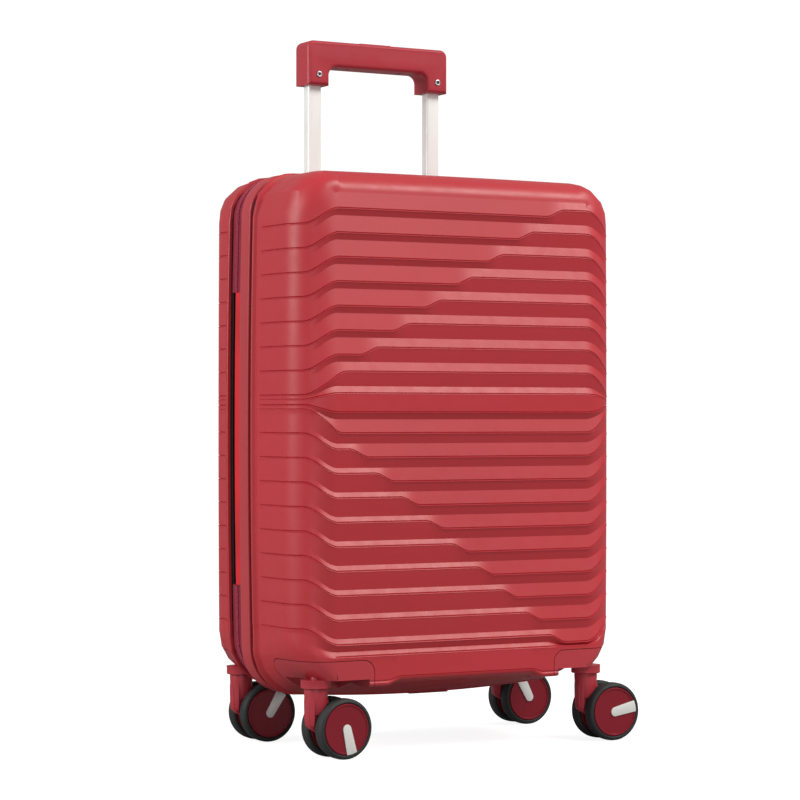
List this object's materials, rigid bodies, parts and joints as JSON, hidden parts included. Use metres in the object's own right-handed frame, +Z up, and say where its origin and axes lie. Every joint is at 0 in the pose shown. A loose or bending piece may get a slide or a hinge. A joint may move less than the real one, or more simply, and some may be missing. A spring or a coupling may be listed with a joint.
{
  "type": "hard shell suitcase",
  "caption": "Upright hard shell suitcase that opens on a side hinge, with stepped ribs, twin-wheel casters, a telescopic handle, an expander zip and a number lock.",
  "frame": {"origin": "floor level, under the middle of the whole object's box as it stands with its casters trailing to +X", "axes": "+Z up, -Y out of the ribbed front, +X to the right seen from the front"},
  "size_m": [0.3844, 0.201, 0.6962],
  "materials": {
    "shell_red": "fine-grained moulded shell plastic, satin",
    "trim_red": "smooth moulded plastic, satin",
    "wheel_red": "moulded plastic, semi-gloss",
    "tyre_black": "matt polyurethane tread",
    "tube_aluminium": "satin anodised",
    "steel": "satin plated",
    "zip_magenta": "woven zip tape",
    "expander_fabric": "woven polyester",
    "hinge_red": "coated woven strip",
    "lining_cloth": "polyester lining cloth",
    "grip_dark_red": "soft-touch moulded grip",
    "black_plastic": "moulded, matt",
    "dial_grey": "moulded number wheel"
  },
  "bodies": {
    "rear": {"rear_shell": "shell_red", "rear_zip_half": "zip_magenta", "hinge_strip": "hinge_red", "rear_lining": "lining_cloth", "trolley_bezel": "trim_red", "trolley_base": "black_plastic", "outer_tube_left": "tube_aluminium", "outer_tube_right": "tube_aluminium", "carry_handle_base": "trim_red", "lock_body": "black_plastic", "wheel_housing_rear_left": "shell_red", "wheel_housing_rear_right": "shell_red"},
    "middle": {"middle_frame": "shell_red", "front_zip_half": "zip_magenta", "expander_zip": "expander_fabric", "expansion_gusset": "expander_fabric", "zip_end_cover": "zip_magenta"},
    "front": {"front_shell": "shell_red", "front_lining": "lining_cloth", "wheel_housing_front_left": "shell_red", "wheel_housing_front_right": "shell_red"},
    "middle_tubes": {"middle_tube_left": "tube_aluminium", "middle_tube_right": "tube_aluminium"},
    "handle": {"inner_tube_left": "tube_aluminium", "inner_tube_right": "tube_aluminium", "trolley_grip": "trim_red", "grip_rivet_left": "steel", "grip_rivet_right": "steel"},
    "release_button": {"grip_button": "trim_red"},
    "carry_handle": {"carry_grip": "grip_dark_red"},
    "dial_lower": {"lock_dial_lower": "dial_grey"},
    "dial_middle": {"lock_dial_middle": "dial_grey"},
    "dial_upper": {"lock_dial_upper": "dial_grey"},
    "puller_upper": {"zip_puller_upper": "steel"},
    "puller_lower": {"zip_puller_lower": "steel"},
    "caster_front_left": {"caster_fork_front_left": "trim_red", "axle_front_left": "steel"},
    "wheel_front_left_outer": {"hub_front_left_outer": "wheel_red", "tyre_front_left_outer": "tyre_black"},
    "wheel_front_left_inner": {"hub_front_left_inner": "wheel_red", "tyre_front_left_inner": "tyre_black"},
    "caster_front_right": {"caster_fork_front_right": "trim_red", "axle_front_right": "steel"},
    "wheel_front_right_outer": {"hub_front_right_outer": "wheel_red", "tyre_front_right_outer": "tyre_black"},
    "wheel_front_right_inner": {"hub_front_right_inner": "wheel_red", "tyre_front_right_inner": "tyre_black"},
    "caster_rear_left": {"caster_fork_rear_left": "trim_red", "axle_rear_left": "steel"},
    "wheel_rear_left_outer": {"hub_rear_left_outer": "wheel_red", "tyre_rear_left_outer": "tyre_black"},
    "wheel_rear_left_inner": {"hub_rear_left_inner": "wheel_red", "tyre_rear_left_inner": "tyre_black"},
    "caster_rear_right": {"caster_fork_rear_right": "trim_red", "axle_rear_right": "steel"},
    "wheel_rear_right_outer": {"hub_rear_right_outer": "wheel_red", "tyre_rear_right_outer": "tyre_black"},
    "wheel_rear_right_inner": {"hub_rear_right_inner": "wheel_red", "tyre_rear_right_inner": "tyre_black"}
  },
  "joints": [
    {"name": "case_opening", "type": "hinge", "parent": "rear", "child": "middle", "pos_m": [-0.193, 0.0325, 0.3], "axis": [0, 0, -1], "range_deg": [0, 180]},
    {"name": "expansion", "type": "slide", "parent": "middle", "child": "front", "axis": [0, -1, 0], "range_m": [0, 0.04]},
    {"name": "middle_tubes_slide", "type": "slide", "parent": "rear", "child": "middle_tubes", "axis": [0, 0, 1], "range_m": [0, 0.17]},
    {"name": "handle_slide", "type": "slide", "parent": "middle_tubes", "child": "handle", "axis": [0, 0, 1], "range_m": [-0.094, 0.17]},
    {"name": "button_press", "type": "slide", "parent": "handle", "child": "release_button", "axis": [0, 0, -1], "range_m": [0, 0.003], "stiffness_N_per_m": 300},
    {"name": "carry_handle_lift", "type": "slide", "parent": "rear", "child": "carry_handle", "axis": [0, 0, 1], "range_m": [0, 0.02], "stiffness_N_per_m": 60},
    {"name": "dial_lower_turn", "type": "hinge", "parent": "rear", "child": "dial_lower", "pos_m": [0.1664, 0.0575, 0.321], "axis": [0, 0, 1], "continuous": true},
    {"name": "dial_middle_turn", "type": "hinge", "parent": "rear", "child": "dial_middle", "pos_m": [0.1664, 0.0575, 0.33], "axis": [0, 0, 1], "continuous": true},
    {"name": "dial_upper_turn", "type": "hinge", "parent": "rear", "child": "dial_upper", "pos_m": [0.1664, 0.0575, 0.339], "axis": [0, 0, 1], "continuous": true},
    {"name": "puller_upper_slide", "type": "slide", "parent": "rear", "child": "puller_upper", "axis": [0, 0, 1], "range_m": [0, 0.14]},
    {"name": "puller_lower_slide", "type": "slide", "parent": "rear", "child": "puller_lower", "axis": [0, 0, 1], "range_m": [-0.14, 0]},
    {"name": "swivel_front_left", "type": "hinge", "parent": "front", "child": "caster_front_left", "pos_m": [-0.1603, -0.0792, 0.08], "axis": [0, 0, 1], "continuous": true},
    {"name": "roll_front_left_outer", "type": "hinge", "parent": "caster_front_left", "child": "wheel_front_left_outer", "pos_m": [-0.13775, -0.07762, 0.0286], "axis": [-0.0698, 0.9976, 0], "continuous": true},
    {"name": "roll_front_left_inner", "type": "hinge", "parent": "caster_front_left", "child": "wheel_front_left_inner", "pos_m": [-0.13775, -0.07762, 0.0286], "axis": [-0.0698, 0.9976, 0], "continuous": true},
    {"name": "swivel_front_right", "type": "hinge", "parent": "front", "child": "caster_front_right", "pos_m": [0.1409, -0.0792, 0.08], "axis": [0, 0, 1], "continuous": true},
    {"name": "roll_front_right_outer", "type": "hinge", "parent": "caster_front_right", "child": "wheel_front_right_outer", "pos_m": [0.16349, -0.07999, 0.0286], "axis": [0.0349, 0.9994, 0], "continuous": true},
    {"name": "roll_front_right_inner", "type": "hinge", "parent": "caster_front_right", "child": "wheel_front_right_inner", "pos_m": [0.16349, -0.07999, 0.0286], "axis": [0.0349, 0.9994, 0], "continuous": true},
    {"name": "swivel_rear_left", "type": "hinge", "parent": "rear", "child": "caster_rear_left", "pos_m": [-0.1603, 0.0783, 0.08], "axis": [0, 0, 1], "continuous": true},
    {"name": "roll_rear_left_outer", "type": "hinge", "parent": "caster_rear_left", "child": "wheel_rear_left_outer", "pos_m": [-0.1377, 0.0783, 0.0286], "axis": [0, 1, 0], "continuous": true},
    {"name": "roll_rear_left_inner", "type": "hinge", "parent": "caster_rear_left", "child": "wheel_rear_left_inner", "pos_m": [-0.1377, 0.0783, 0.0286], "axis": [0, 1, 0], "continuous": true},
    {"name": "swivel_rear_right", "type": "hinge", "parent": "rear", "child": "caster_rear_right", "pos_m": [0.1409, 0.0783, 0.08], "axis": [0, 0, 1], "continuous": true},
    {"name": "roll_rear_right_outer", "type": "hinge", "parent": "caster_rear_right", "child": "wheel_rear_right_outer", "pos_m": [0.1635, 0.0783, 0.0286], "axis": [0, 1, 0], "continuous": true},
    {"name": "roll_rear_right_inner", "type": "hinge", "parent": "caster_rear_right", "child": "wheel_rear_right_inner", "pos_m": [0.1635, 0.0783, 0.0286], "axis": [0, 1, 0], "continuous": true}
  ]
}
